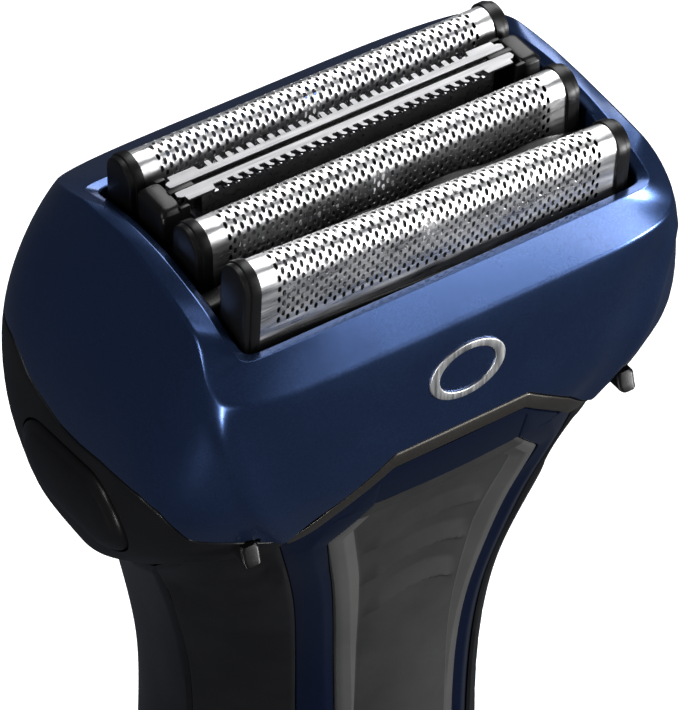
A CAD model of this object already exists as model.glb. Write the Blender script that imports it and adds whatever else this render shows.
import math

import bmesh
import bpy
import numpy as np
from mathutils import Matrix, Vector


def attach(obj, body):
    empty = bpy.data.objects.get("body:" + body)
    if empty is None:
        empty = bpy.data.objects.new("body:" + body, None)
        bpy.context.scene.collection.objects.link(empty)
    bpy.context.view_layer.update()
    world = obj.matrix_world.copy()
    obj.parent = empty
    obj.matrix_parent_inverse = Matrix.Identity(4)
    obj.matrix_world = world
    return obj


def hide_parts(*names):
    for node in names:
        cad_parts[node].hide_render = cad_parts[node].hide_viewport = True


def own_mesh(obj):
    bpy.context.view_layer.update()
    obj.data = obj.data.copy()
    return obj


# Looks of the foil shaver. Lengths are in millimetres up to the point where a mesh is made,
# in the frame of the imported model: front towards -Y, +X to the right, Z up.
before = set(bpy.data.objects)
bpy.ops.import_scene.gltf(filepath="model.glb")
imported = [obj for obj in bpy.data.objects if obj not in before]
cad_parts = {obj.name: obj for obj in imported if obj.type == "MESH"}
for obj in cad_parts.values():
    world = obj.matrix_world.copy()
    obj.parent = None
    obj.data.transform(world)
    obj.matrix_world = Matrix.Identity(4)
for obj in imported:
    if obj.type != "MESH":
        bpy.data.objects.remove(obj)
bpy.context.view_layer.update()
MM = 0.001
MERGE = 1e-5

# ---------------------------------------------------------------- driving dimensions
FOIL_TOP = 158.4
FOIL_LEN = 46.5
FOIL_R = 2.25
FRONT_TILT = 3.2
WIN_W = 25.6
ROWS = {"rear": 6.1, "slit": 0.1, "mid": -7.3, "front": -16.8}
TILTS = {"rear": 0.0, "mid": 0.0, "front": FRONT_TILT}
SIDES = ((-1, "left"), (1, "right"))
ARCH_Z = FOIL_TOP - FOIL_R
HALF = FOIL_LEN / 2
POWER_R, POWER_Z = 6.6, 52
RELEASE_LEN, RELEASE_H = 20.8, 11
RELEASE_Y, RELEASE_Z, RELEASE_SLANT = 0.4, 120.7, 7
FRAME_WALL, SHELL_WALL, BEZEL_WALL = 1.9, 2.2, 2.7
BADGE_R, BADGE_Z = 3.95, 139
DECK_LEDGE, NECK_RIM = 4.1, 134.5
SLIT_PITCH = 1.34
SEAM = -13.2
DECK_Z = 118.5
SLIDE_TILT = 8

# Section tables: height, half width, front y, rear y, front squareness, rear squareness, centre y.
HEAD = np.array([
    [101.5, 25, 1, 15, 2.2, 2.6, 8], [103, 29.3, -0.8, 18, 2.2, 3, 7], [106, 31.5, -4.1, 20.5, 2.2, 3.2, 5],
    [110, 34, -9.2, 21.9, 2.4, 3.8, 2], [114, 35.3, -15.2, 22.9, 2.6, 4.2, 0],
    [119, 36, -20, 23.8, 2.9, 4.7, -1.5], [124, 36.1, -22.1, 24.2, 3.3, 5.1, -2],
    [128, 35.8, -23.3, 24.2, 3.8, 5.4, -2], [134, 35.3, -23.9, 23.5, 4.3, 5.4, -2],
    [141, 33.5, -24.2, 22.2, 5.3, 5.4, -2], [147, 31.2, -24, 20.8, 7.6, 5, -2],
    [151, 29.7, -22.8, 18.6, 10, 5, -2], [155, 28.2, -21.4, 16.2, 12, 5, -2]])
BODY = np.array([
    [0, 16.8, -10, 18, 2.2, 2.7, 7], [3, 18.8, -12, 20.2, 2.2, 2.7, 7],
    [12, 20.6, -13.4, 22.6, 2.2, 2.7, 7.5], [35, 21.4, -14, 25, 2, 2.7, 8],
    [60, 21, -13.9, 24.2, 1.9, 2.7, 8], [75, 21.4, -13.8, 23, 1.9, 2.8, 6.8],
    [90, 23.7, -14.5, 21.4, 2.05, 3.2, 5.3], [100, 26.1, -16, 20, 2.4, 3.2, 4.6],
    [108, 28.8, -17.6, 19.2, 2.7, 3.2, 4.4], [114, 31.4, -19.3, 18.6, 2.8, 3.2, 4.4],
    [120, 32, -20.9, 18.2, 3, 3.2, 4.4], [125, 32.3, -22.3, 18, 3.2, 3.2, 4.4],
    [129, 32.5, -23.2, 18, 3.5, 3.2, 4.4]])
FRAME_EDGE = np.array([
    [-90, 130.5], [-67.5, 130.5], [-58, 127.3], [-50.7, 124.6], [-41, 120], [-32.5, 122.9], [-25.6, 124.2],
    [-24.6, 126], [-21.9, 128.7], [-17.8, 129.8], [-12.6, 129.9], [-6.5, 129.6], [0.2, 128.8], [6.9, 128.5],
    [14.4, 129.6], [17.8, 130.4], [20.7, 131.8], [24.1, 132.8], [45, 133.2], [90, 133.2]])
CREASE = np.array([
    [-24.5, 146.4], [-21.3, 146.6], [-19.7, 148.2], [-18, 150.8], [-16, 152.3], [-12.8, 153.0], [-5, 154.1],
    [0, 154.4], [8, 153.7], [11, 152.6], [14, 151.2], [17, 149.2], [20, 146.8], [24, 144.5]])
NECK_TOP = np.array([
    [-90, 117.8], [-48, 117.7], [-41, 117.7], [-33.2, 117.7], [-32.2, 117.2], [-30.3, 115.9], [-25.6, 112.6],
    [-11, 104], [0, 100.6], [10, 99.9], [24.1, 101], [40, 102.5], [60, 104], [90, 105]])
BEZEL_W = np.array([
    [3, 9.6], [8, 10.8], [20, 12], [40, 12.7], [60, 12.6], [80, 12.9], [90, 13.7], [97, 14.75], [102, 15.7],
    [106, 16.65], [110, 17.8], [114, 19.05], [117.5, 20.1]])
PANEL_W = np.array([
    [12, 6], [16, 7.6], [24, 8.6], [35, 9], [50, 8.8], [68, 8.4], [79, 8.5], [87, 9], [94, 9.75], [101, 10.8],
    [106, 11.75], [110, 12.75], [115.5, 14.2], [121.4, 9.3], [130, 9.3]])
EDGE_TURNS = (-67.5, -58, -50.7, -41, -32.5, -25.6, -24.6, -21.9)


# ---------------------------------------------------------------- shape functions
def natural_spline(x, y):
    """Second derivatives of the natural cubic through the points."""
    n = len(x)
    h = np.diff(x)
    m = np.eye(n)
    r = np.zeros(n)
    for i in range(1, n - 1):
        m[i, i - 1:i + 2] = h[i - 1], 2 * (h[i - 1] + h[i]), h[i]
        r[i] = 6 * ((y[i + 1] - y[i]) / h[i] - (y[i] - y[i - 1]) / h[i - 1])
    return np.linalg.solve(m, r)


def curve(table, k=1):
    """Smooth function through column k of a table over column 0, level outside it."""
    x, y = table[:, 0].astype(float), table[:, k].astype(float)
    bend = natural_spline(x, y)

    def value(q):
        q = np.clip(np.asarray(q, float), x[0], x[-1])
        i = np.clip(np.searchsorted(x, q, side="right") - 1, 0, len(x) - 2)
        h = x[i + 1] - x[i]
        a, b = (x[i + 1] - q) / h, (q - x[i]) / h
        return a * y[i] + b * y[i + 1] + ((a ** 3 - a) * bend[i] + (b ** 3 - b) * bend[i + 1]) * h * h / 6
    return value


def section(table):
    names = ("width", "front", "rear", "front_n", "rear_n", "middle")
    return {name: curve(table, k + 1) for k, name in enumerate(names)}


HEAD_S, BODY_S = section(HEAD), section(BODY)
BEZEL_EDGE, PANEL_EDGE_LOW = curve(BEZEL_W), curve(PANEL_W[:13])
BEZEL_TOP, PANEL_TURN = BEZEL_W[-1, 0], PANEL_W[12, 0]


def oval(w, d, n, a):
    c, s = np.abs(np.cos(np.radians(a))), np.abs(np.sin(np.radians(a)))
    return ((c / w) ** n + (s / d) ** n) ** (-1 / n)


def half_section(sec, z, front, t):
    """Half width, depth and squareness of the front or the rear half of a section, t inside it."""
    mid = sec["middle"](z)
    depth = np.where(front, mid - sec["front"](z), sec["rear"](z) - mid) - t
    return sec["width"](z) - t, depth, np.where(front, sec["front_n"](z), sec["rear_n"](z))


def wall(sec, z, a, t=0.0):
    """Points of a section at height z and angle a, t inside the outer surface."""
    z, a, t = np.broadcast_arrays(*(np.asarray(q, float) for q in (z, a, t)))
    r = oval(*half_section(sec, z, np.sin(np.radians(a)) < 0, t), a)
    return np.stack([r * np.cos(np.radians(a)), sec["middle"](z) + r * np.sin(np.radians(a)), z], -1)


def front_y(sec, x, z, t=0.0):
    """Front surface of a section at x, t inside."""
    mid, n = sec["middle"](z), sec["front_n"](z)
    w = sec["width"](z) - t
    return mid - (mid - sec["front"](z) - t) * (1 - np.minimum(np.abs(x) / w, 0.999) ** n) ** (1 / n)


def on_front(sec, x, z, t=0.0):
    x, z, t = np.broadcast_arrays(*(np.asarray(q, float) for q in (x, z, t)))
    return np.stack([x, front_y(sec, x, z, t), z], -1)


def side_x(sec, y, z, t=0.0):
    """Side surface of a section at depth y, t inside."""
    mid = sec["middle"](z)
    width, depth, n = half_section(sec, z, y < mid, t)
    return width * (1 - np.minimum(np.abs(y - mid) / depth, 0.999) ** n) ** (1 / n)


def folded(a):
    return np.degrees(np.arcsin(np.clip(np.sin(np.radians(a)), -1, 1)))


def softened(table, a, reach):
    """Value of a broken line at a, averaged over a short reach so that its corners are rounded."""
    steps = np.linspace(-reach, reach, 9)
    return np.mean([np.interp(a + s, table[:, 0], table[:, 1]) for s in steps], axis=0)


def frame_edge(a):
    return softened(FRAME_EDGE, folded(a), 0.5)


def crease_z(a):
    near = softened(CREASE, wall(HEAD_S, 149, a)[..., 1], 0.7)
    return softened(CREASE, wall(HEAD_S, near, a)[..., 1], 0.7)


def window(a, t):
    r = oval(WIN_W + t, 15 + t, 32, a)
    return np.stack([r * np.cos(np.radians(a)), -5 + r * np.sin(np.radians(a))], -1)


def rim_z(y):
    return 154.4 - 0.0128 * (y + 3) ** 2


def neck_top(a):
    return softened(NECK_TOP, folded(a), 0.7)


def turns(sec, z, count):
    """Angles round a section, closer together where the outline bends."""
    fine = np.linspace(-90, 270, 6001)
    d = np.diff(wall(sec, z, fine), axis=0)
    length = np.linalg.norm(d, axis=1)
    head = np.abs(np.diff(np.unwrap(np.arctan2(d[:, 1], d[:, 0])), prepend=0))
    head[0] = 0
    total = np.concatenate([[0], np.cumsum(length / length.sum() + 0.9 * head / head.sum())])
    return np.interp(np.linspace(0, total[-1], count + 1), total, fine)[:count]


def cornered(a):
    """The same angles with those nearest to the corners of the lower edge moved onto them."""
    a = a.copy()
    for turn in EDGE_TURNS:
        for want in (turn, -180 - turn + 360):
            a[np.argmin(np.abs(a - want))] = want
    return a


def soften(rows, radii, steps=4, closed=False):
    """Round the corners of a profile given as rows of points; radii[i] is how far the arc reaches."""
    rows = [np.asarray(r, float) for r in rows]
    m, out = len(rows), []
    for i, (p, r) in enumerate(zip(rows, radii)):
        if not r or (not closed and i in (0, m - 1)):
            out.append(p)
            continue
        ends = []
        for q in (rows[i - 1], rows[(i + 1) % m]):
            d = q - p
            size = np.linalg.norm(d, axis=-1, keepdims=True)
            ends.append(p + d / np.maximum(size, 1e-9) * np.minimum(r, 0.48 * size))
        for k in range(steps + 1):
            u = k / steps
            out.append((1 - u) ** 2 * ends[0] + 2 * u * (1 - u) * p + u * u * ends[1])
    return np.array(out)


# ---------------------------------------------------------------- mesh helpers
def grid_faces(rows, cols, wrap_rows=False, wrap_cols=False):
    i, j = np.meshgrid(np.arange(rows - (not wrap_rows)), np.arange(cols - (not wrap_cols)), indexing="ij")
    u, v = (i + 1) % rows, (j + 1) % cols
    return np.stack([i * cols + j, i * cols + v, u * cols + v, u * cols + j], -1).reshape(-1, 4).tolist()


def mesh_object(name, points, faces, merge=0.0):
    """Object from points in millimetres, with outward normals; points closer than merge become one."""
    mesh = bpy.data.meshes.new(name)
    mesh.from_pydata((np.asarray(points, float).reshape(-1, 3) * MM).tolist(), [], faces)
    bm = bmesh.new()
    bm.from_mesh(mesh)
    if merge:
        bmesh.ops.remove_doubles(bm, verts=bm.verts, dist=merge * MM)
    bmesh.ops.recalc_face_normals(bm, faces=bm.faces)
    bm.to_mesh(mesh)
    bm.free()
    obj = bpy.data.objects.new(name, mesh)
    bpy.context.scene.collection.objects.link(obj)
    return obj


def finish_mesh(obj, look, sharp):
    """Smooth faces with edges sharp above an angle, and the look's material."""
    mesh = obj.data
    mesh.polygons.foreach_set("use_smooth", [True] * len(mesh.polygons))
    mesh.set_sharp_from_angle(angle=math.radians(sharp))
    mesh.materials.clear()
    mesh.materials.append(MATS[look])


def piece(name, part, look, sharp, body, slot, *nodes, cuts=()):
    """Visible piece on a body, in place of its nodes, with the solids in cuts taken out of it."""
    obj = mesh_object(name, *part, merge=MERGE)
    finish_mesh(obj, look, sharp)
    if cuts:
        carve(obj, cuts)
        finish_mesh(obj, look, sharp)
    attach(obj, body)
    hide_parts(*nodes)
    return obj


def ring_wall(rows):
    """Points and faces of a closed wall whose rings run up the outside and down the inside."""
    rows = np.asarray(rows)
    return rows.reshape(-1, 3), grid_faces(rows.shape[0], rows.shape[1], True, True)


def ring_solid(rows):
    """Points and faces of a solid through rings, closed at both ends."""
    rows = np.asarray(rows)
    m, n = rows.shape[:2]
    faces = grid_faces(m, n, False, True) + [list(range(n))[::-1], list(range((m - 1) * n, m * n))]
    return rows.reshape(-1, 3), faces


def shell_patch(outer, inner):
    """Closed shell between two grids of the same size."""
    outer, inner = np.asarray(outer), np.asarray(inner)
    r, c = outer.shape[:2]
    n = r * c
    edge = ([i * c for i in range(r)] + [(r - 1) * c + j for j in range(1, c)]
            + [i * c + c - 1 for i in range(r - 2, -1, -1)] + list(range(c - 2, 0, -1)))
    rim = [[a, b, b + n, a + n] for a, b in zip(edge, edge[1:] + edge[:1])]
    faces = grid_faces(r, c)
    faces += [[q + n for q in f[::-1]] for f in grid_faces(r, c)] + rim
    return np.concatenate([outer.reshape(-1, 3), inner.reshape(-1, 3)]), faces


def together(parts):
    """One set of points and faces from several."""
    points, faces, start = [], [], 0
    for p, f in parts:
        p = np.asarray(p, float).reshape(-1, 3)
        points.append(p)
        faces += [[q + start for q in face] for face in f]
        start += len(p)
    return np.concatenate(points), faces


def strip_solid(rows):
    """Points and faces of a closed profile run along a strip, with flat ends."""
    rows = np.asarray(rows)
    m, n = rows.shape[:2]
    ends = [[i * n for i in range(m)], [i * n + n - 1 for i in range(m)][::-1]]
    return rows.reshape(-1, 3), grid_faces(m, n, True, False) + ends


def stack(axis, levels):
    """Solid through flat outlines, each with its place on the axis."""
    return ring_solid([np.insert(flat, axis, at, axis=1) for at, flat in levels])


def prism(outline, axis, low, high, bevel, steps=3):
    """Solid of an outline in the other two axes between two heights, with rounded top and bottom edges.
    The outline is convex or nearly so, and the bevel is small beside it."""
    centre = outline.mean(axis=0)
    size = np.abs(outline - centre).max(axis=0)
    quarter = [k * math.pi / 2 / steps for k in range(steps + 1)]
    arc = [(bevel * (1 - math.cos(t)), bevel * (1 - math.sin(t))) for t in quarter]
    levels = [(low + a, b) for a, b in arc] + [(high - a, b) for a, b in arc[::-1]]
    return stack(axis, [(h, centre + (outline - centre) * (1 - inset / size)) for h, inset in levels])


def mirrored(side, low, high):
    """The interval from low to high on the given side, in rising order."""
    return sorted((side * low, side * high))


def rounded_box(x0, x1, y0, y1, z0, z1, r=0.3, steps=2):
    """Box with rounded edges, as points and faces."""
    bm = bmesh.new()
    bmesh.ops.create_cube(bm, size=1.0)
    lo, hi = np.array([x0, y0, z0]), np.array([x1, y1, z1])
    for v in bm.verts:
        v.co = Vector(((lo + hi) / 2 + np.array(v.co) * (hi - lo)).tolist())
    if r:
        bmesh.ops.bevel(bm, geom=bm.edges[:], offset=min(r, 0.45 * float((hi - lo).min())), segments=steps,
                        profile=0.5, affect="EDGES")
    bm.verts.index_update()
    points = np.array([v.co[:] for v in bm.verts])
    faces = [[v.index for v in f.verts] for f in bm.faces]
    bm.free()
    return points, faces


def lathe(profile, centre, axis=2, count=64):
    """Solid turned round an axis through centre; profile is (radius, height) from bottom to top."""
    a = np.linspace(0, 2 * math.pi, count, endpoint=False)
    circle = np.column_stack([np.cos(a), np.sin(a)])
    points, faces = stack(axis, [(h, r * circle) for r, h in profile])
    return points + np.asarray(centre, float), faces


def moved(part, matrix):
    points, faces = part
    turn = np.array(matrix)
    return np.asarray(points, float) @ turn[:3, :3].T + turn[:3, 3], faces


def placed(parts, matrix):
    return moved(together(parts), matrix)


def carve(obj, tools):
    """Cut solids out of an object, with the result applied to its mesh."""
    made = [mesh_object("tool", *t) for t in tools]
    for t in made:
        m = obj.modifiers.new("cut", "BOOLEAN")
        m.operation, m.solver, m.object = "DIFFERENCE", "EXACT", t
    bpy.context.view_layer.update()
    result = bpy.data.meshes.new_from_object(obj.evaluated_get(bpy.context.evaluated_depsgraph_get()))
    obj.modifiers.clear()
    obj.data = result
    for t in made:
        bpy.data.objects.remove(t, do_unlink=True)


# ---------------------------------------------------------------- materials
class Nodes:
    """Short form for building a node tree in object coordinates."""

    def __init__(self, name):
        self.mat = bpy.data.materials.new(name)
        self.mat.use_nodes = True
        self.tree = self.mat.node_tree
        self.shader = self.tree.nodes["Principled BSDF"]
        self.coord = self.tree.nodes.new("ShaderNodeTexCoord").outputs["Object"]

    def add(self, kind, output, inputs, **settings):
        """Output of a new node; each input is given as a value or as the socket to link to it."""
        node = self.tree.nodes.new(kind)
        for key, value in settings.items():
            setattr(node, key, value)
        for key, value in inputs.items():
            if isinstance(value, bpy.types.NodeSocket):
                self.link(value, node.inputs[key])
            else:
                node.inputs[key].default_value = value
        return node.outputs[output]

    def link(self, a, b):
        self.tree.links.new(a, b)

    def stretched(self, factors):
        return self.add("ShaderNodeMapping", "Vector", {"Scale": factors, "Vector": self.coord})

    def noise(self, scale, detail=3.0, rough=0.55, vector=None):
        return self.add("ShaderNodeTexNoise", "Fac", {"Scale": scale, "Detail": detail, "Roughness": rough,
                                                      "Vector": vector or self.coord})

    def spread(self, value, low, high, start=0.3, end=0.7):
        return self.add("ShaderNodeMapRange", "Result", {"From Min": start, "From Max": end, "To Min": low,
                                                         "To Max": high, "Value": value})

    def mix(self, a, b, factor):
        """Two colours, mixed by a socket."""
        return self.add("ShaderNodeMix", "Result", {"A": (*a, 1), "B": (*b, 1), "Factor": factor},
                        data_type="RGBA")

    def bump(self, height, strength, depth):
        normal = self.shader.inputs["Normal"]
        inputs = {"Strength": strength, "Distance": depth * MM, "Height": height}
        if normal.is_linked:
            inputs["Normal"] = normal.links[0].from_socket
        self.link(self.add("ShaderNodeBump", "Normal", inputs), normal)

    def set(self, **values):
        for key, value in values.items():
            self.shader.inputs[key.replace("_", " ")].default_value = value


def plastic(name, color, rough, grain=0.25, depth=0.02, strength=0.35, wear=0.25, coat=0.0, ior=1.5):
    """Moulded plastic: fine spark-eroded grain, slight cloudiness in tone and gloss."""
    n = Nodes(name)
    light = [min(1, c * (1 + wear) + 0.002) for c in color]
    n.link(n.mix(color, light, n.spread(n.noise(90, 4), 0, 1)), n.shader.inputs["Base Color"])
    n.link(n.spread(n.noise(160, 5), rough * 0.88, rough * 1.12), n.shader.inputs["Roughness"])
    n.bump(n.noise(1000 / grain, 2, 0.6), strength, depth)
    n.set(Coat_Weight=coat, Coat_Roughness=0.2, IOR=ior)
    return n.mat


def lacquer(name, color, dark, rough, coat, coat_rough=0.08, metallic=0.85):
    """Metallic paint: tiny flakes under a clear coat, with faint orange peel."""
    n = Nodes(name)
    cells = n.add("ShaderNodeTexVoronoi", "Color", {"Scale": 6500, "Vector": n.coord})
    red = n.add("ShaderNodeSeparateColor", "Red", {"Color": cells})
    tone = n.spread(red, 0.25, 1.0, 0.0, 1.0)
    n.link(n.mix(dark, color, tone), n.shader.inputs["Base Color"])
    n.link(n.spread(n.noise(120, 4), rough * 0.9, rough * 1.1), n.shader.inputs["Roughness"])
    n.bump(red.node.outputs["Green"], 0.05, 0.02)
    n.bump(n.noise(420, 2), 0.04, 0.05)
    n.set(Metallic=metallic, Coat_Weight=coat, Coat_Roughness=coat_rough)
    return n.mat


def steel(name, color, rough, lay=(1, 1, 1), scratch=0.08, tone=0.12, metallic=1.0):
    """Metal with a lay of fine scratches; lay stretches the scratches along the small factors."""
    n = Nodes(name)
    dim = [c * (1 - tone) for c in color]
    lines = n.noise(2600, 3, 0.6, n.stretched(lay))
    n.link(n.mix(dim, color, n.spread(n.noise(150, 4), 0, 1)), n.shader.inputs["Base Color"])
    n.link(n.spread(lines, rough * 0.75, rough * 1.3), n.shader.inputs["Roughness"])
    n.bump(lines, scratch, 0.01)
    n.set(Metallic=metallic)
    return n.mat


MATS = {
    "navy": lacquer("navy_lacquer", (0.040, 0.076, 0.19), (0.028, 0.054, 0.14), 0.27, 0.22, 0.12),
    "bezel": lacquer("bezel_lacquer", (0.015, 0.031, 0.095), (0.010, 0.021, 0.068), 0.20, 0.5, 0.06),
    "band": lacquer("band_lacquer", (0.105, 0.098, 0.086), (0.07, 0.066, 0.058), 0.40, 0.1),
    "black": plastic("black_moulding", (0.0045, 0.0045, 0.0048), 0.40, ior=1.36),
    "cap": plastic("cap_moulding", (0.004, 0.004, 0.0043), 0.36, grain=0.18, ior=1.33),
    "shell": plastic("shell_moulding", (0.004, 0.004, 0.0045), 0.26, 0.4, strength=0.15, coat=0.15, ior=1.4),
    "grip": plastic("grip_rubber", (0.0045, 0.0045, 0.0047), 0.42, 0.2, strength=0.3, wear=0.5, ior=1.38),
    "panel": plastic("panel_moulding", (0.014, 0.014, 0.0135), 0.60, grain=0.16, depth=0.03, strength=0.6),
    "facet": plastic("facet_moulding", (0.055, 0.055, 0.053), 0.42, grain=0.3, strength=0.2),
    "button": plastic("button_moulding", (0.035, 0.035, 0.037), 0.35, grain=0.2),
    "badge": steel("badge_metal", (0.74, 0.74, 0.73), 0.42, (1, 1, 0.06)),
    "foil": steel("foil_metal", (0.90, 0.90, 0.90), 0.34, (0.08, 1, 1), 0.05),
    "comb": steel("comb_metal", (0.20, 0.20, 0.205), 0.38, (0.05, 1, 1), 0.1),
    "blade": steel("blade_metal", (0.42, 0.42, 0.43), 0.32, (1, 0.05, 1), 0.12),
    "spring": steel("spring_wire", (0.6, 0.6, 0.61), 0.22),
    "screw": steel("screw_metal", (0.5, 0.5, 0.52), 0.3),
    "acetal": plastic("acetal_moulding", (0.62, 0.62, 0.57), 0.34, grain=0.4, wear=0.08),
    "chassis": plastic("chassis_moulding", (0.45, 0.45, 0.42), 0.5, wear=0.1),
    "seal": plastic("seal_rubber", (0.05, 0.05, 0.052), 0.6, grain=0.3),
    "motor": steel("motor_plate", (0.52, 0.52, 0.54), 0.34, (1, 1, 0.1)),
    "brass": steel("brass_metal", (0.70, 0.53, 0.26), 0.28, (1, 1, 0.1)),
    "cell": plastic("cell_wrap", (0.05, 0.16, 0.30), 0.25, grain=1.0, wear=0.1),
    "board": plastic("board_mask", (0.02, 0.13, 0.05), 0.3, grain=0.6, wear=0.3),
    "socket": plastic("socket_moulding", (0.03, 0.03, 0.03), 0.35),
}


def smoked_glass():
    n = Nodes("smoked_window")
    n.link(n.mix((0.05, 0.055, 0.06), (0.08, 0.085, 0.09), n.spread(n.noise(200, 3), 0, 1)),
           n.shader.inputs["Base Color"])
    n.link(n.spread(n.noise(500, 3), 0.06, 0.12), n.shader.inputs["Roughness"])
    n.bump(n.noise(900, 2), 0.05, 0.01)
    n.set(IOR=1.5, Coat_Weight=0.5)
    return n.mat


MATS["window"] = smoked_glass()


# ---------------------------------------------------------------- head frame
def front_ridge(a, v):
    """Height of the upright ridge at the front corners and of the hollow beside it; v runs from the
    lower edge up to the crease."""
    turn = folded(a) + 41 - 8 * v
    shape = 0.42 * np.exp(-(turn / 2.2) ** 2) - 0.22 * np.exp(-((turn + 6) / 3.5) ** 2)
    return shape * np.clip((0.97 - v) / 0.12, 0, 1)


def head_frame():
    a = cornered(turns(HEAD_S, 132, 340))
    edge, crease = frame_edge(a), crease_z(a)
    rows = [wall(HEAD_S, edge + (crease - edge) * v, a, -front_ridge(a, v)) for v in np.linspace(0, 1, 15)]
    outer, inner = window(a, 1.15), window(a, 0)
    rows.append(np.column_stack([outer, rim_z(outer[:, 1]) + 0.3]))
    rows.append(np.column_stack([inner, rim_z(inner[:, 1]) - 0.3]))
    rows.append(np.column_stack([inner, rim_z(inner[:, 1]) - 2.8]))
    top = crease - FRAME_WALL
    rows += [wall(HEAD_S, edge + (top - edge) * v, a, FRAME_WALL)
             for v in (0.98, 0.85, 0.7, 0.5, 0.3, 0.12, 0)]
    radii = [0.3] + [0] * 13 + [0.55, 0.16, 0.4, 0.3, 0.6] + [0] * 5 + [0.3]
    part = ring_wall(soften(rows, radii, 5, closed=True))
    notches = [rounded_box(*mirrored(side, 23.8, 26.8), -23, -15, 118, 122.9, 0.3) for side in (-1, 1)]
    piece("head_frame_shell", part, "navy", 50, "foil_frame", "navy_gloss", "head_frame", cuts=notches)


def front_badge():
    """Plain oval ring on the middle of the front."""
    c = np.linspace(0, 2 * math.pi, 96, endpoint=False)
    profile = [(BADGE_R, 0.3), (BADGE_R, -0.22), (BADGE_R - 1, -0.22), (BADGE_R - 1, 0.3)]
    rows = []
    for r, lift in profile:
        x, z = r * 1.25 * np.cos(c), BADGE_Z + r * np.sin(c)
        rows.append(on_front(HEAD_S, x, z) + np.array([0, lift, 0]))
    part = ring_wall(soften(rows, [0, 0.14, 0.14, 0], 3, closed=True))
    piece("front_badge_ring", part, "badge", 60, "foil_frame", "badge_silver", "front_badge")


def skin_guard():
    """Low wavy wall between the front and the middle foil."""
    x = np.linspace(-WIN_W + 0.2, WIN_W - 0.2, 150)
    top = 154.1 - 0.35 * np.cos(np.radians(x * 30)) - 0.0022 * x * x
    y0, y1 = -13.45, -10.75
    rows = [np.column_stack([x, np.full_like(x, y), z]) for y, z in
            ((y0, np.full_like(x, 149.5)), (y0, top), (y1, top), (y1, np.full_like(x, 149.5)))]
    part = strip_solid(soften(rows, [0, 0.7, 0.7, 0], 4, closed=True))
    piece("skin_guard_wave", part, "cap", 45, "foil_frame", "black_plastic", "skin_guard")


# ---------------------------------------------------------------- foils
FOIL_DROP = 7.0
HOLE_PITCH, HOLE_ROW = 1.175, 0.69
HOLE_HALF = (0.225, 0.40)
PLAIN_END = 2.1
FOIL_SHEET = 0.1


def row_frame(row, tilt=0.0):
    """Matrix of a foil row: its place, and its slant about its own middle."""
    return Matrix.Translation((0, ROWS[row], ARCH_Z)) @ Matrix.Rotation(math.radians(tilt), 4, "Y")


def arch_point(s, r, drop):
    """Height and depth on an arch, s along it from the front foot over the crest to the rear foot."""
    s = np.asarray(s, float)
    turn = np.clip((s - drop) / r, 0, math.pi)
    y = -r * np.cos(turn)
    z = r * np.sin(turn) + np.minimum(s - drop, 0) - np.maximum(s - drop - math.pi * r, 0)
    return y, z


def perforated(left, right, low, high, x, s):
    """Flat faces of a sheet with staggered slots, each inside a lozenge. x and s are grid positions at
    half pitches, with the slots between left and right in x and low and high in s. The number of rows
    is odd."""
    points, faces, index = [], [], {}

    def corner(j, i):
        if (j, i) not in index:
            index[j, i] = len(points)
            points.append((x[j], s[i]))
        return index[j, i]

    def face(*corners):
        faces.append([corner(j, i) for j, i in corners])

    def plain(j0, j1, i0, i1):
        for j in range(j0, j1):
            for i in range(i0, i1):
                face((j, i), (j + 1, i), (j + 1, i + 1), (j, i + 1))

    width, height = len(x) - 1, len(s) - 1
    for corners in ((0, width, 0, low), (0, width, high, height), (0, left, low, high),
                    (right, width, low, high)):
        plain(*corners)
    for j in range(left + 2, right, 2):
        face((j - 1, low), (j, low), (j + 1, low), (j, low + 2))
        face((j + 1, high), (j, high), (j - 1, high), (j, high - 2))
    face((left, low), (left + 1, low), (left, low + 2), (left, low + 1))
    face((right - 1, low), (right, low), (right, low + 1), (right, low + 2))
    face((left, high - 2), (left + 1, high), (left, high), (left, high - 1))
    face((right, high - 2), (right, high - 1), (right, high), (right - 1, high))
    for k, i in enumerate(range(low + 2, high - 1, 2)):
        if k % 2:
            face((left, i - 2), (left + 1, i), (left, i + 2), (left, i + 1), (left, i), (left, i - 1))
            face((right, i - 2), (right, i - 1), (right, i), (right, i + 1), (right, i + 2), (right - 1, i))
        for j in range(left + 1 + k % 2, right, 2):
            ring = [corner(j, i - 2), corner(j + 1, i), corner(j, i + 2), corner(j - 1, i)]
            slot = []
            for q in range(16):
                t = math.radians(-90 + q * 22.5)
                c, d = math.cos(t), math.sin(t)
                slot.append(len(points))
                points.append((x[j] + HOLE_HALF[0] * math.copysign(abs(c) ** 0.85, c),
                               s[i] + HOLE_HALF[1] * math.copysign(abs(d) ** 0.85, d)))
            for q in range(4):
                faces.append([ring[q], ring[(q + 1) % 4]] + [slot[(4 * q + n) % 16] for n in (4, 3, 2, 1, 0)])
    return np.array(points), faces


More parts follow.
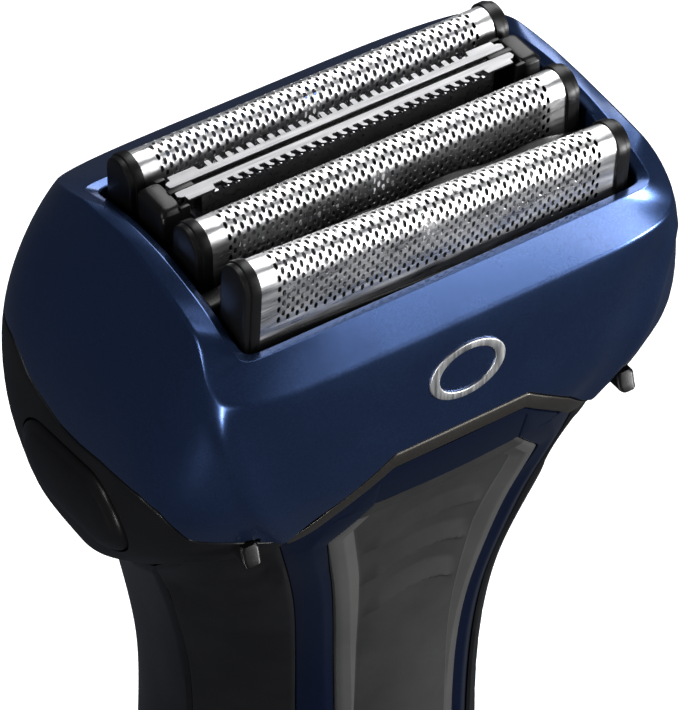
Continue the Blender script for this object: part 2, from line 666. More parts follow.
def foil(row, body, tilt):
    """Arched sheet with rows of slots that stagger by half a pitch."""
    across = int(round((FOIL_LEN - 2 * PLAIN_END) / HOLE_PITCH))
    span = 2 * FOIL_DROP + math.pi * FOIL_R
    lines = (int((span - 1.6) / HOLE_ROW) - 1) // 2 * 2 - 1
    x_in = np.linspace(-HALF + PLAIN_END, HALF - PLAIN_END, 2 * across + 1)
    s_in = span / 2 + (np.arange(2 * lines + 3) - lines - 1) * HOLE_ROW / 2
    x = np.concatenate([[-HALF, -HALF + PLAIN_END / 2], x_in, [HALF - PLAIN_END / 2, HALF]])
    s = np.concatenate([[0, s_in[0] / 2], s_in, [(span + s_in[-1]) / 2, span]])
    flat, faces = perforated(2, len(x) - 3, 2, len(s) - 3, x, s)
    y, z = arch_point(flat[:, 1], FOIL_R, FOIL_DROP)
    outer = np.column_stack([flat[:, 0], y, z])
    turn = np.clip((flat[:, 1] - FOIL_DROP) / FOIL_R, 0, math.pi)
    normal = np.column_stack([np.zeros(len(flat)), -np.cos(turn), np.sin(turn)])
    inner = outer - normal * FOIL_SHEET
    count = len(outer)
    edges = {}
    for f in faces:
        for a, b in zip(f, f[1:] + f[:1]):
            edges[(a, b)] = edges.get((a, b), 0) + 1
    rim = [[b, a, a + count, b + count] for a, b in edges if (b, a) not in edges]
    faces = faces + [[q + count for q in f[::-1]] for f in faces] + rim
    part = moved((np.concatenate([outer, inner]), faces), row_frame(row, tilt))
    name = f"foil_{row}"
    piece(f"{name}_sheet", part, "foil", 40, body, "foil_steel", name)


def arch_outline(r, drop, count=28):
    """Closed outline in Y and Z: arch over straight sides."""
    t = np.linspace(0, math.pi, count)
    top = np.column_stack([-r * np.cos(t), r * np.sin(t)])
    side = np.linspace(-drop, 0, 6)[:-1]
    left = np.column_stack([np.full(5, -r), side])
    return np.concatenate([left, top, left[::-1] * [-1, 1]])


def carrier(row, body, tilt):
    """Foil cassette: two D-shaped end caps with a raised rim beside the foil, and its side rails."""
    parts = []
    steps = [(-0.35, 2.15), (-0.35, 2.62), (-0.25, 2.74), (0.75, 2.76), (0.92, 2.70), (0.98, 2.56),
             (1.3, 2.52), (1.56, 2.46), (1.68, 2.3), (1.72, 2.0)]
    for side in (-1, 1):
        parts.append(stack(0, [(side * (HALF + dx * 0.93), arch_outline(r, 7.9) + [0.15, -0.35])
                               for dx, r in steps]))
    for side in (-1, 1):
        y = side * (FOIL_R + 0.22)
        parts.append(rounded_box(-HALF - 0.2, HALF + 0.2, y - 0.2, y + 0.2, -9.3, -6.7, 0.12))
    if tilt:
        for side in (-1, 1):
            y = side * (FOIL_R + 0.6)
            parts.append(lathe([(0.6, y - 0.4), (0.6, y + 0.4)], (0, 0, -8.6), 1, 32))
    part = placed(parts, row_frame(row, tilt))
    name = f"carrier_{row}"
    piece(f"{name}_cassette", part, "cap", 40, body, "black_plastic", name)


# ---------------------------------------------------------------- slit trimmer
def comb_outline(teeth, tooth, base=1.45, tab=2.2):
    """Outline of one comb plate in X and Y, from the inner edge out to the teeth."""
    line = [(-21.75, 0.5), (-21.4, 0.42), (21.4, 0.42), (21.75, 0.5), (21.85, 1.15), (21.5, 1.5),
            (21.1, 1.55), (21.05, tab), (17.7, tab), (17.55, base)]
    start = 16.05
    for i in range(teeth):
        x = start - i * SLIT_PITCH
        line += [(x + dx, base + dy) for dx, dy in tooth]
    line += [(-17.55, base), (-17.7, tab), (-21.05, tab), (-21.1, 1.55), (-21.5, 1.5), (-21.85, 1.15)]
    return line


TOOTH_STRAIGHT = [(0.33, 0), (0.3, 0.72), (0.2, 0.86), (-0.2, 0.86), (-0.3, 0.72), (-0.33, 0)]
TOOTH_HOOKED = [(0.3, 0), (0.26, 0.42), (0.42, 0.6), (0.5, 0.8), (0.36, 0.93), (0.14, 0.86), (-0.1, 0.66),
                (-0.26, 0.3), (-0.34, 0)]


def slit_comb():
    parts = []
    for side, tooth in ((1, TOOTH_STRAIGHT), (-1, TOOTH_HOOKED)):
        outline = np.array(comb_outline(25, tooth)) * [1, side]
        away = side * np.sign(outline[:, 1] * side - 1.2)
        parts.append(stack(2, [(z, outline - np.outer(away, [0, inset]))
                               for z, inset in ((0.74, 0.0), (0.96, 0.0), (1.0, 0.04))]))
    part = placed(parts, row_frame("slit"))
    piece("slit_comb_plates", part, "comb", 30, "slit_trimmer", "blade_steel", "slit_comb")


def rounded_rectangle(x0, x1, y0, y1, r, steps=5):
    out = []
    corners = ((x1 - r, y0 + r, -90), (x1 - r, y1 - r, 0), (x0 + r, y1 - r, 90), (x0 + r, y0 + r, 180))
    for cx, cy, a0 in corners:
        for k in range(steps + 1):
            a = math.radians(a0 + 90 * k / steps)
            out.append((cx + r * math.cos(a), cy + r * math.sin(a)))
    return np.array(out)


def slit_carrier():
    """Black block of the slit trimmer: two stepped end blocks, a centre rib and the side walls."""
    parts = []
    for side in (-1, 1):
        levels = []
        for z, inset in ((-8.6, 0), (0.05, 0), (0.3, 0.08), (0.62, 0.35), (0.8, 0.55), (0.86, 0.8)):
            flat = rounded_rectangle(22.0 + inset * 0.3, 24.7 - inset, -2.7 + inset, 2.7 - inset, 0.6)
            levels.append((z, flat * [side, 1]))
        parts.append(stack(2, levels))
        parts.append(rounded_box(*mirrored(side, 19.2, 22.3), -0.36, 0.36, 0.0, 0.98, 0.08))
        parts += [rounded_box(*mirrored(side, 21.2, 22.4), y - 0.25, y + 0.25, -3, 0.7, 0.1)
                  for y in (-2.5, 2.5)]
    parts.append(rounded_box(-22, 22, -0.4, 0.4, 0, 0.55, 0.12))
    for y in (-2.5, 2.5):
        parts.append(rounded_box(-22.1, 22.1, y - 0.2, y + 0.2, -8.6, -5.4, 0.12))
    part = placed(parts, row_frame("slit"))
    piece("slit_carrier_block", part, "cap", 40, "slit_trimmer", "black_plastic", "slit_carrier")


def slit_cutter():
    parts = []
    for side in (-1, 1):
        parts.append(rounded_box(-19, 19, *mirrored(side, 0.62, 1.42), -3.5, 0.38, 0.1))
        for i in range(27):
            x = -17.8 + i * SLIT_PITCH
            parts.append(rounded_box(x, x + 0.6, *mirrored(side, 1.3, 2.12), 0.06, 0.5, 0.06))
    parts.append(rounded_box(-19.5, 19.5, -1.5, 1.5, -8.4, -3.3, 0.3))
    part = placed(parts, row_frame("slit"))
    piece("slit_cutter_bar", part, "blade", 35, "slit_blade", "blade_steel", "slit_cutter")


# ---------------------------------------------------------------- inner cutters
def inner_cutter(row, body, tilt):
    """Seventeen arched blades on a moulded spine, with a boss round the drive pin's bore."""
    parts, blades, reach = [], 17, 19.5
    r = FOIL_R - 0.36
    for i in range(blades):
        x = -reach + i * 2 * reach / (blades - 1)
        outline = arch_outline(r, 4.0, 20)
        parts.append(stack(0, [(x + dx, outline * k) for dx, k in
                               ((-0.3, 0.97), (-0.24, 1), (0.24, 1), (0.3, 0.97))]))
    parts.append(rounded_box(-20, 20, -1.5, 1.5, -8.4, -2.2, 0.35))
    part = placed(parts, row_frame(row, tilt))
    bores = []
    for k in ((-1, 1) if tilt else (-1,)):
        shift = k * math.sin(math.radians(tilt)) * 12
        bores.append(moved(lathe([(0.97, -9.2), (0.97, -4)], (shift, 0, 0), 2, 32), row_frame(row, tilt)))
    name = f"cutter_{row}"
    piece(f"{name}_blades", part, "blade", 35, body, "blade_steel", name, cuts=bores)


# ---------------------------------------------------------------- neck
def under_bezel(a, limit):
    """How far the head base is set back behind the front bezel."""
    return np.where(folded(a) < limit, 2.9, 0.0)


def release_local(u, v):
    """Y and Z of a point of the release button's outline plane."""
    c, s = math.cos(math.radians(RELEASE_SLANT)), math.sin(math.radians(RELEASE_SLANT))
    return RELEASE_Y + u * c + v * s, RELEASE_Z - u * s + v * c


def pill(r, length, count):
    a = (np.arange(count) + 0.5) * 2 * math.pi / count
    return np.column_stack([r * np.cos(a) + np.sign(np.cos(a)) * (length - RELEASE_H) / 2, r * np.sin(a)])


def head_base():
    a = cornered(turns(HEAD_S, 122, 320))
    edge, low = frame_edge(a) - 0.25, neck_top(a)
    setback = under_bezel(a, -39.6)
    base = np.maximum(low, 103)
    skirt = under_bezel(a, -46) * 1.1
    rows = [wall(BODY_S, low - 2.2, a, 4.6 + skirt), wall(BODY_S, low - 2.2, a, 2.4 + skirt),
            wall(BODY_S, low + 0.05, a, 2.4 + skirt), wall(BODY_S, low + 0.05, a, 0.1 + skirt)]
    face = np.maximum(under_bezel(a, -43.9), under_bezel(a, -40.6) * 0.46)
    rows += [wall(HEAD_S, base + (edge - base) * v, a, face) for v in np.linspace(0.06, 1, 16)]
    inside = wall(HEAD_S, edge, a, 2.7 + setback / 6)[:, :2]
    rows += [np.column_stack([inside, edge + (NECK_RIM - edge) * v]) for v in (0, 0.5, 1)]
    inside = wall(HEAD_S, edge, a, DECK_LEDGE + setback / 6)[:, :2]
    rows.append(np.column_stack([inside, np.full(len(a), NECK_RIM)]))
    rows += [wall(HEAD_S, z, a, t) for z, t in
             ((DECK_Z + 3, DECK_LEDGE), (DECK_Z - 0.05, DECK_LEDGE), (DECK_Z - 0.05, 9.6))]
    radii = [0, 0.2, 0.2, 0.5] + [0] * 15 + [0.4, 0.2, 0, 0.3, 0.3, 0, 0.3, 0]
    part = ring_wall(soften(rows, radii, 4, closed=True))
    holes = []
    for side in (-1, 1):
        flat = pill(RELEASE_H / 2 + 0.28, RELEASE_LEN, 64)
        y, z = release_local(flat[:, 0], flat[:, 1])
        holes.append(ring_solid([np.column_stack([np.full(64, side * x), y, z]) for x in (26, 41)]))
    piece("head_base_bowl", part, "black", 45, "handle", "black_plastic", "head_base", cuts=holes)


def cap_lugs():
    """Hooks under the front corners that the travel cap snaps on."""
    parts = []
    for side in (-1, 1):
        parts.append(stack(2, [(z, rounded_rectangle(*sides, 0.5) * [side, 1]) for z, *sides in
                               ((119.9, 24.5, 26.3, -20.7, -17.3), (120.1, 24.3, 26.4, -20.7, -17.1),
                                (120.6, 24.1, 26.5, -20.3, -16.7), (121.8, 24.1, 26.5, -20.0, -16.6),
                                (122.2, 24.4, 26.2, -19.7, -16.8))]))
    piece("cap_lug_pair", together(parts), "cap", 40, "handle", "black_plastic", "cap_lugs")


BAND_GAP, BAND_H = 0.16, 2.45


def collar_band():
    a = np.linspace(-139, -41, 180)
    edge = frame_edge(a) - BAND_GAP
    rows = [wall(HEAD_S, edge - h, a, t) for h, t in ((0, 1.3), (0, 0.05), (BAND_H / 2, 0.0), (BAND_H, 0.05),
                                                      (BAND_H, 1.3))]
    part = strip_solid(soften(rows, [0, 0.35, 0, 0.35, 0], 4, closed=True))
    piece("collar_band_strip", part, "band", 40, "handle", "band_grey", "collar_band")


def release_button(side, name, body):
    """Pill that follows the head's side: a smooth crown with a fine step inside its edge."""
    outline = pill(RELEASE_H / 2, RELEASE_LEN, 96)
    levels = [(0, 2.6), (0, 0.02), (0.08, -0.14), (0.25, -0.3), (0.6, -0.45), (1.15, -0.58), (1.3, -0.68),
              (1.5, -0.76), (2.2, -0.88), (3.2, -0.97), (4.6, -1)]
    rows = []
    for inset, t in levels:
        flat = outline * [1 - inset / (RELEASE_LEN / 2), 1 - inset / (RELEASE_H / 2)]
        y, z = release_local(flat[:, 0], flat[:, 1])
        x = np.full(len(y), 31.4) if t > 2 else side_x(HEAD_S, y, z, t)
        rows.append(np.column_stack([side * x, y, z]))
    stem = rounded_box(*mirrored(side, 25.6, 31.6), 0, 4, DECK_Z + 2.4, 122.4)
    part = together([ring_solid(rows), stem])
    piece(f"{name}_pill", part, "cap", 40, body, "black_plastic", name)


# ---------------------------------------------------------------- handle
def angle_about(sec, x, y, z):
    return np.degrees(np.arctan2(y - sec["middle"](z), x))


def diagonal_width(z):
    """Half width of the bezel where its top follows the band, a small gap below it."""
    x = np.linspace(4, 26, 800)
    out = []
    for h in np.atleast_1d(z):
        y = front_y(BODY_S, x, h)
        room = frame_edge(angle_about(HEAD_S, x, y, h)) - BAND_GAP - BAND_H - 0.22 - h
        inside = np.nonzero(room > 0)[0]
        out.append(x[inside[-1]] if len(inside) else x[0])
    return np.array(out)


def bezel_half(z):
    z = np.asarray(z, float)
    width = BEZEL_EDGE(np.minimum(z, BEZEL_TOP))
    return np.where(z < 115, width, np.minimum(width, diagonal_width(z)))


def panel_half(z):
    z = np.asarray(z, float)
    return np.where(z < 115, PANEL_EDGE_LOW(np.minimum(z, PANEL_TURN)), softened(PANEL_W, z, 0.35))


PANEL_LOW, PANEL_HIGH = 12.25, 121.2


def front_bezel():
    """Lacquered frame round the panel: an outer facet, a ridge and an inner facet that dips to the panel."""
    steps = [np.linspace(3, 12, 12), np.linspace(14, 114, 90), np.linspace(115, 121, 14),
             np.linspace(121.5, 127.5, 22), [PANEL_LOW - 0.02, PANEL_LOW, PANEL_HIGH, PANEL_HIGH + 0.02]]
    zs = np.unique(np.concatenate(steps))
    rows = []
    for z in zs:
        b, gap = float(bezel_half(z)[0]), 0.22
        open_here = PANEL_LOW <= z <= PANEL_HIGH
        p = float(panel_half(np.clip(z, PANEL_LOW, PANEL_HIGH))) + gap
        p = min(p, b - 1.0)
        ridge = p + (b - p) * (0.37 + 0.05 * np.clip((z - 105) / 8, 0, 1))
        dip = 0.6 * np.clip((119 - z) / 10, 0, 1) * np.clip((z - 10) / 8, 0, 1)
        fall = 0.5 * np.clip((121 - z) / 5, 0, 1)
        floor_t = [1.55] * 3 if open_here else [dip + 0.16, dip * 0.6 + 0.1, dip * 0.3 + 0.02]
        half = [(b, BEZEL_WALL), (b, fall + 0.5), (b - 0.08, fall + 0.2), (b - 0.25, fall + 0.04),
                (b - (b - ridge) * 0.4, fall * 0.42), (ridge + 0.45, 0.04), (ridge + 0.12, 0.0),
                (ridge - 0.12, 0.03 * dip), (ridge - 0.45, 0.2 * dip), (p + 0.3, dip), (p + 0.1, dip + 0.04),
                (p, dip + 0.16), (p, floor_t[0]), (p * 0.66, floor_t[1]), (p * 0.33, floor_t[2])]
        right = [on_front(BODY_S, x, z, t) for x, t in half]
        middle = [on_front(BODY_S, 0.0, z, 1.55 if open_here else 0.0)]
        left = [q * np.array([-1, 1, 1]) for q in right[::-1]]
        back = [on_front(BODY_S, x, z, BEZEL_WALL) for x in np.linspace(-b, b, 12)[1:-1]]
        rows.append(np.array(right + middle + left + back))
    hole = lathe([(POWER_R + 0.4, -30), (POWER_R + 0.4, -4)], (0, 0, POWER_Z), 1, 64)
    piece("front_bezel_frame", ring_solid(rows), "bezel", 28, "handle", "navy_gloss", "front_bezel",
          cuts=[hole, rounded_box(-2.2, 2.2, -20, 0, 23, 32, 0)])


RIB_HEIGHTS = (98, 104.5, 111)


def panel_border(z):
    """Widths of the panel's flat flange and of the sloping wall inside it."""
    return 1.5 + 0.2 * np.clip((z - 90) / 20, 0, 1), 0.35 + 1.5 * np.clip((z - 78) / 26, 0, 1)


def panel_depth(x, z):
    """Depth of the panel's face under the handle's surface: flange, sloping wall, recessed floor and ribs."""
    p = panel_half(z)
    flange, wall_w = panel_border(z)
    hollow = 0.95 * np.clip((z - 74) / 30, 0, 1) + 0.1
    side = np.clip((p - flange - np.abs(x)) / wall_w, 0, 1)
    top = np.clip((PANEL_HIGH - 2.2 - z) / 1.6, 0, 1)
    low = np.clip((z - PANEL_LOW - 1.5) / 1.0, 0, 1)
    t = 0.25 + hollow * np.minimum(np.minimum(side, top), low)
    for k, zc in enumerate(RIB_HEIGHTS):
        w = 5.6 + 0.9 * k
        line = zc - 2.4 * (np.abs(x) / w) ** 2.2
        step = np.clip((z - line) / 0.45 + 0.5, 0, 1) * np.clip(1 - (z - line) / 3.6, 0, 1)
        t = t - 0.6 * step * np.clip((w + 0.8 - np.abs(x)) / 1.6, 0, 1)
    return t


def front_panel():
    """Charcoal thumb panel with its recess and three raised lips, over a satin flange."""
    zs = np.concatenate([np.linspace(PANEL_LOW + 0.25, 90, 110), np.linspace(90.4, PANEL_HIGH - 0.25, 140)])
    p = (panel_half(zs) - 0.02)[:, None]
    flange, wall_w = panel_border(zs[:, None])
    u = np.linspace(0, 1, 25)[None, :]
    floor_x, wall_u, rim_u = (p - flange - wall_w) * u, u[:, 3::3], u[:, 3::3]
    half = np.concatenate([floor_x, p - flange - wall_w * (1 - wall_u), p - flange * (1 - rim_u)], axis=1)
    x = np.concatenate([-half[:, :0:-1], half], axis=1)
    us = x / p
    z = np.repeat(zs[:, None], x.shape[1], axis=1)
    outer = on_front(BODY_S, x, z, panel_depth(x, z))
    edge = np.minimum((1 - np.abs(us)) * 14, 1)
    outer[..., 1] += 0.22 * (1 - edge) ** 2
    inner = on_front(BODY_S, x, z, 1.4)
    hole = lathe([(POWER_R + 0.22, -30), (POWER_R + 0.22, -4)], (0, 0, POWER_Z), 1, 96)
    obj = piece("front_panel_plate", shell_patch(outer, inner), "panel", 30, "handle", "panel_grey",
                "front_panel", "grip_ribs", cuts=[hole, rounded_box(-1.85, 1.85, -20, 0, 23.4, 31.6, 0)])
    obj.data.materials.append(MATS["facet"])
    for face in obj.data.polygons:
        c = face.center / MM
        p = float(panel_half(c.z))
        if abs(c.x) > p - sum(panel_border(c.z)) and PANEL_LOW + 1.4 < c.z < PANEL_HIGH - 2.4:
            face.material_index = 1


def grip_start(z, t):
    z = np.asarray(z, float)
    x = BEZEL_EDGE(np.minimum(z, BEZEL_TOP)) + 0.28
    return np.degrees(np.arctan2(front_y(BODY_S, x, z, t) - BODY_S["middle"](z), x))


def side_grip(side, name):
    """Rubber side grip with rounded edges, a soft hollow across its top and shallow grooves below."""
    v, u = np.linspace(0, 1, 150), np.linspace(0, 1, 56)
    end = SEAM - 0.3
    grids = []
    for t in (0.0, SHELL_WALL):
        a1 = grip_start(117, t) + (end - grip_start(117, t)) * u
        z = 3 + (neck_top(a1)[None, :] - 0.3 - 3) * v[:, None]
        start = grip_start(z, t)
        a = start + (end - start) * u[None, :]
        dip = t
        if not t:
            edge = np.minimum(np.minimum(u, 1 - u)[None, :] * 34, np.minimum(v, 1 - v)[:, None] * 110)
            dip = 0.4 * (1 - np.minimum(edge, 1)) ** 2
            groove = np.exp(-((((z - 12) % 5.2) - 2.6) / 0.55) ** 2) * (z > 16) * (z < 80)
            dip = dip + 0.28 * groove * np.clip(np.minimum(u, 1 - u)[None, :] * 6 - 0.9, 0, 1)
            across = (z - 112 + 13 * u[None, :]) / 3.2
            dip = dip + 1.0 * np.exp(-across ** 2) * np.clip(np.minimum(u, 1 - u)[None, :] * 8, 0, 1)
        grids.append(wall(BODY_S, z, a, dip) * [side, 1, 1])
    part = shell_patch(*grids)
    piece(f"{name}_rubber", part, "grip", 40, "handle", "grip_rubber", name)


def tilt_frame():
    return Matrix.Translation((0, 24.2, 92)) @ Matrix.Rotation(math.radians(-SLIDE_TILT), 4, "X")


def rear_shell():
    v, u = np.linspace(0, 1, 130), np.linspace(SEAM + 0.3, 179.7 - SEAM, 150)
    grids = []
    for t in (0.0, SHELL_WALL):
        z = 3 + (neck_top(u)[None, :] - 0.3 - 3) * v[:, None]
        a = np.repeat(u[None, :], len(v), axis=0)
        dip = t
        if not t:
            along = np.minimum(u - SEAM - 0.3, 179.7 - SEAM - u)[None, :] * 0.9
            edge = np.minimum(along, np.minimum(v, 1 - v)[:, None] * 110)
            dip = 0.45 * (1 - np.minimum(edge, 1)) ** 2
        grids.append(wall(BODY_S, z, a, dip))
    opening = moved(rounded_box(-12.35, 12.35, -8, 8, -16.35, 7.15, 0), tilt_frame())
    piece("rear_shell_cover", shell_patch(*grids), "shell", 40, "handle", "shell_black", "rear_shell",
          cuts=[opening])


def bottom_cap():
    a = turns(BODY_S, 2, 160)
    rows = [wall(BODY_S, z, a, t) * [1, 1, 0] + [0, 0, h] for z, h, t in
            ((0, 0, 5), (0, 0, 0.75), (0.5, 0.55, 0.02), (3, 2.82, 0.05), (3, 2.82, 3), (3, 5, 3), (3, 5, 6))]
    part = ring_solid(soften(rows, [0, 0.5, 0.3, 0.3, 0.2, 0.2, 0], 4))
    tools = [rounded_box(-6.7, 6.7, 4.3, 12.7, -1, 5.9, 0)]
    for side in (-1, 1):
        tools.append(lathe([(2.1, -1), (2.1, 1.8), (1.05, 1.81), (1.05, 7)], (side * 11, 4, 0), 2, 48))
    piece("bottom_cap_shell", part, "black", 40, "handle", "black_plastic", "bottom_cap", cuts=tools)


def base_gasket():
    a = turns(BODY_S, 3, 120)
    profile = ((5.05, 4.6), (5.05, 3.1), (5.9, 3.1), (5.9, 4.6))
    rows = [wall(BODY_S, 3, a, t) * [1, 1, 0] + [0, 0, h] for h, t in profile]
    part = ring_wall(soften(rows, [0.2] * 4, 3, closed=True))
    piece("base_gasket_ring", part, "seal", 50, "handle", "seal_rubber", "base_gasket")


# ---------------------------------------------------------------- controls
def power_button():
    """Round button with a dished face, a raised ring and a plain dot."""
    y = -10.8
    profile = [(2.4, 7.9), (2.4, 10.6), (POWER_R, 10.6), (POWER_R, 3.05 - y), (POWER_R - 0.12, 3.28 - y),
               (POWER_R - 0.4, 3.4 - y), (POWER_R - 1.0, 3.36 - y), (POWER_R - 1.5, 3.1 - y), (3.2, 2.92 - y),
               (1.55, 2.88 - y), (1.5, 3.02 - y), (0.9, 3.06 - y)]
    rows = []
    c = np.linspace(0, 2 * math.pi, 128, endpoint=False)
    for r, h in profile:
        rows.append(np.column_stack([r * np.cos(c), np.full(128, -h), POWER_Z + r * np.sin(c)]))
    piece("power_button_key", ring_solid(rows), "button", 35, "power_key", "button_grey",
           "power_button")


def indicator_window():
    levels = []
    for y, inset in ((-11.2, 0), (-13.25, 0), (-13.42, 0.08), (-13.5, 0.25)):
        levels.append((y, rounded_rectangle(-1.68 + inset, 1.68 - inset, 23.55 + inset, 31.45 - inset, 0.5)))
    piece("indicator_lens", stack(1, levels), "window", 40, "handle", "window_clear",
           "indicator_window")


# ---------------------------------------------------------------- pop-up trimmer
def trimmer_housing():
    parts = [rounded_box(-12.2, 12.2, -4.4, -3.2, -16.2, 7, 0.15),
             rounded_box(-12.2, 12.2, -4.4, 1.1, -16.2, -14.9, 0.3)]
    profile = np.array([(-4.4, -16.2), (1.1, -16.2), (-0.4, 2), (-2.4, 7), (-4.4, 7)])
    for side in (-1, 1):
        parts.append(prism(profile, 0, *mirrored(side, 11.1, 12.2), 0.2))
    part = placed(parts, tilt_frame())
    piece("trimmer_housing_tray", part, "cap", 35, "handle", "black_plastic", "trimmer_housing")


def trimmer_slider():
    """Sliding block with a hollow top for the blades and a ribbed thumb pad."""
    parts = [rounded_box(-10.9, 10.9, -3.1, -1.6, -14.7, 4.6, 0.25),
             rounded_box(-10.9, 10.9, -1.7, -0.2, -14.7, 1.4, 0.25)]
    for side in (-1, 1):
        parts.append(rounded_box(*mirrored(side, 9.2, 10.9), -1.75, -0.2, 1.0, 4.6, 0.25))
    parts.append(rounded_box(-7, 7, -0.4, 0.9, -13.6, -3.4, 0.45, 3))
    for i in range(4):
        parts.append(rounded_box(-6, 6, 0.6, 1.3, -12.7 + i * 2.3, -11.7 + i * 2.3, 0.3))
    part = placed(parts, tilt_frame())
    piece("trimmer_slider_block", part, "button", 35, "trimmer", "button_grey", "trimmer_slider")


def comb_teeth(low, high, x0, pitch, count, y0, y1, root, tip, width):
    parts = [rounded_box(low, high, y0, y1, root - 1.55, root + 0.05, 0.06)]
    for i in range(count):
        x = x0 + i * pitch
        outline = np.array([(x, root - 0.2), (x + width, root - 0.2), (x + width * 0.8, tip - 0.15),
                            (x + width * 0.5, tip), (x + width * 0.2, tip - 0.15)])
        parts.append(stack(1, [(y0, outline), (y1, outline)]))
    return placed(parts, tilt_frame())


def trimmer_blades():
    part = comb_teeth(-10, 10, -9.9, 1.01, 20, -2.6, -1.95, 6.2, 7.8, 0.5)
    piece("trimmer_comb_plate", part, "blade", 30, "trimmer", "blade_steel", "trimmer_comb")
    part = comb_teeth(-8.2, 8.2, -8.1, 1.05, 16, -1.5, -1.05, 6.0, 7.4, 0.6)
    plate = moved(rounded_box(-8.2, 8.2, -1.5, -1.05, 1.6, 4.6, 0.06), tilt_frame())
    piece("trimmer_blade_plate", together([part, plate]), "blade", 30, "trimmer_cutter",
           "blade_steel", "trimmer_blade")


# ---------------------------------------------------------------- drive and inner pieces
def spring(name, start, axis, length, r, coils, wire, body, node, joint=None):
    """Helix with closed ends, from start along an axis; it shortens with a joint."""
    count, sides = coils * 20, 8
    u = np.linspace(0, 1, count + 1)
    climb = np.interp(u, [0, 0.12, 0.88, 1], [wire, 2.2 * wire, length - 2.2 * wire, length - wire])
    t = u * coils * 2 * math.pi
    path = np.column_stack([r * np.cos(t), r * np.sin(t), climb])
    along = np.gradient(path, axis=0)
    along /= np.linalg.norm(along, axis=1, keepdims=True)
    out = np.column_stack([np.cos(t), np.sin(t), np.zeros_like(t)])
    up = np.cross(along, out)
    rows = []
    for k in range(sides):
        q = 2 * math.pi * k / sides
        rows.append(path + wire * (math.cos(q) * out + math.sin(q) * up))
    rows = np.transpose(np.array(rows), (1, 0, 2))
    if axis != "z":
        side = 1 if axis == "x" else -1
        rows = np.stack([rows[..., 2] * side, rows[..., 1], rows[..., 0]], -1)
    part = ring_solid(rows + np.asarray(start, float))
    obj = piece(name, part, "spring", 60, body, "spring_steel", node)
    if joint:
        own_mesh(obj)


def springs():
    low, high, top = 139.45, 142.95, 147.5
    r, wire, press = 1.35, 0.24, 2
    long, short = top - low, top - high
    spring("spring_rear_lift", (0, ROWS["rear"], low), "z", long, r, 6, wire, "outer_drive", "springs_outer",
           "rear_cutter_float")
    spring("spring_front_lift", (0, ROWS["front"], low), "z", long, r, 6, wire, "outer_drive",
           "springs_outer")
    for name, joint in (("mid", "mid_cutter_float"), ("slit", "slit_blade_float")):
        spring(f"spring_{name}_lift", (0, ROWS[name], high), "z", short, r, 4, wire, "inner_drive",
               "springs_inner", joint)
    for side, name in SIDES:
        spring(f"spring_release_{name}", (side * 20.05, 2, DECK_Z + 4.2), "x" if side > 0 else "-x", 5.5, 1.1,
               5, wire, "handle", f"release_spring_{name}", f"{name}_release_press")


def screw(x, y, z, head_r, head_h, shank_r, length, up):
    """Domed screw with a cross recess; its head ends at z and its shank runs the other way."""
    s = 1 if up else -1
    profile = [(shank_r * 0.5, -length), (shank_r, -length + 0.6), (shank_r, -head_h), (head_r, -head_h),
               (head_r, -0.35 * head_h), (head_r * 0.86, -0.1 * head_h), (head_r * 0.6, 0)]
    rings = [(r, h * s) for r, h in profile]
    return lathe(rings if up else rings[::-1], (x, y, z), 2, 40)


def cross(x, y, z, size, depth, up):
    low, high = (z - depth, z + 1) if up else (z - 1, z + depth)
    arms = ((size, size / 4), (size / 4, size))
    return [rounded_box(x - a, x + a, y - b, y + b, low, high, 0) for a, b in arms]


def screws():
    for name, node, y, z, r, h, length, up in (
            ("deck_screw_pair", "deck_screws", 8.5, DECK_Z + 3, 1.5, 1.0, 7, True),
            ("base_screw_pair", "base_screws", 4, 0.42, 1.8, 1.4, 10.8, False)):
        at = 27.4 if up else 11
        part = together([screw(side * at, y, z, r, h, 0.75, length, up) for side in (-1, 1)])
        tools = [t for side in (-1, 1) for t in cross(side * at, y, z, r * 0.55, 0.5, up)]
        piece(name, part, "screw", 35, "handle", "spring_steel", node, cuts=tools)


CAD_LOOKS = {
    "drive_deck": "black", "drive_seals": "seal", "oscillator_outer": "acetal", "oscillator_inner": "acetal",
    "motor_can": "motor", "rotor": "brass", "battery": "cell", "circuit_board": "board", "chassis": "chassis",
    "charge_socket": "socket", "charge_pins": "brass", "tact_switch": "socket"}


def inner_nodes():
    """Finishes and softened edges for the solids that stay as they are."""
    for node, look in CAD_LOOKS.items():
        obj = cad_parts[node]
        obj.data.materials.clear()
        obj.data.materials.append(MATS[look])
        m = obj.modifiers.new("edges", "BEVEL")
        m.width, m.segments, m.limit_method, m.angle_limit = 0.12 * MM, 2, "ANGLE", math.radians(40)


# ---------------------------------------------------------------- stage
def floor():
    bm = bmesh.new()
    bmesh.ops.create_grid(bm, x_segments=8, y_segments=8, size=3.0)
    mesh = bpy.data.meshes.new("floor")
    bm.to_mesh(mesh)
    bm.free()
    obj = bpy.data.objects.new("floor", mesh)
    bpy.context.scene.collection.objects.link(obj)
    n = Nodes("pale_floor")
    tone = n.mix((0.90, 0.90, 0.90), (0.93, 0.93, 0.93), n.spread(n.noise(2), 0, 1))
    n.link(tone, n.shader.inputs["Base Color"])
    n.set(Roughness=0.9, Emission_Color=(1, 1, 1, 1), Emission_Strength=0.55)
    mesh.materials.append(n.mat)
    obj.visible_glossy = False
    obj.visible_diffuse = False


HEAD_AT = (0, 0, 0.14)
LIGHTS = (("top_softbox", (0.45, 0.40, 0.80), (0.5, 0.9), 9),
          ("front_softbox", (0.55, -0.70, 0.55), (0.25, 0.6), 4.2),
          ("low_front_strip", (0.46, -0.48, 0.09), (0.14, 0.15), 4.5),
          ("corner_strip", (-0.27, -0.22, 0.045), (0.02, 0.09), 0.42),
          ("left_strip", (-0.85, -0.10, 0.55), (0.10, 0.5), 3))


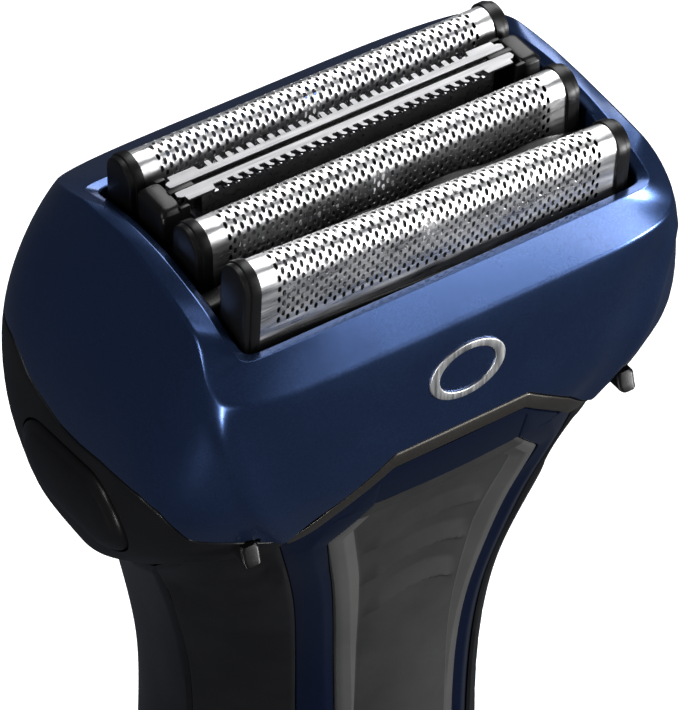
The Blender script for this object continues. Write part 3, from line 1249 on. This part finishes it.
def lights():
    """Dim sky and the area lights, each turned to the head."""
    world = bpy.data.worlds.new("studio")
    bpy.context.scene.world = world
    world.use_nodes = True
    sky = world.node_tree.nodes["Background"].inputs
    sky["Color"].default_value = (0.75, 0.82, 1.0, 1)
    sky["Strength"].default_value = 0.06
    for name, place, size, watts in LIGHTS:
        data = bpy.data.lights.new(name, "AREA")
        data.shape, data.size, data.size_y, data.energy = "RECTANGLE", size[0], size[1], watts
        obj = bpy.data.objects.new(name, data)
        bpy.context.scene.collection.objects.link(obj)
        obj.location = place
        obj.rotation_euler = (Vector(HEAD_AT) - Vector(place)).to_track_quat("-Z", "Y").to_euler()
    bpy.context.scene.view_settings.view_transform = "Standard"


CAMERA_TURN, CAMERA_TILT, CAMERA_DISTANCE = -33.6, 42.5, 0.480
CAMERA_TARGET = (-0.00068, -0.00028, 0.12309)
CAMERA_LENS = 214.2


def camera():
    a, e = math.radians(CAMERA_TURN), math.radians(CAMERA_TILT)
    back = Vector((math.sin(a) * math.cos(e), -math.cos(a) * math.cos(e), math.sin(e)))
    data = bpy.data.cameras.new("camera")
    data.lens, data.sensor_width, data.clip_start = CAMERA_LENS, 36, 0.01
    obj = bpy.data.objects.new("camera", data)
    obj.location = Vector(CAMERA_TARGET) + back * CAMERA_DISTANCE
    obj.rotation_euler = back.to_track_quat("Z", "Y").to_euler()
    bpy.context.scene.collection.objects.link(obj)
    bpy.context.scene.camera = obj


# ---------------------------------------------------------------- the shaver
head_frame()
front_badge()
skin_guard()
for build in (foil, carrier):
    for row, tilt in TILTS.items():
        build(row, f"{row}_foil", tilt)
slit_comb()
slit_carrier()
slit_cutter()
for row, tilt in TILTS.items():
    inner_cutter(row, f"{row}_cutter", tilt)
head_base()
cap_lugs()
collar_band()
for side, name in SIDES:
    release_button(side, f"release_{name}", f"{name}_release")
front_bezel()
front_panel()
for side, name in SIDES:
    side_grip(side, f"grip_{name}")
rear_shell()
bottom_cap()
base_gasket()
power_button()
indicator_window()
trimmer_housing()
trimmer_slider()
trimmer_blades()
springs()
screws()
inner_nodes()
floor()
lights()
camera()
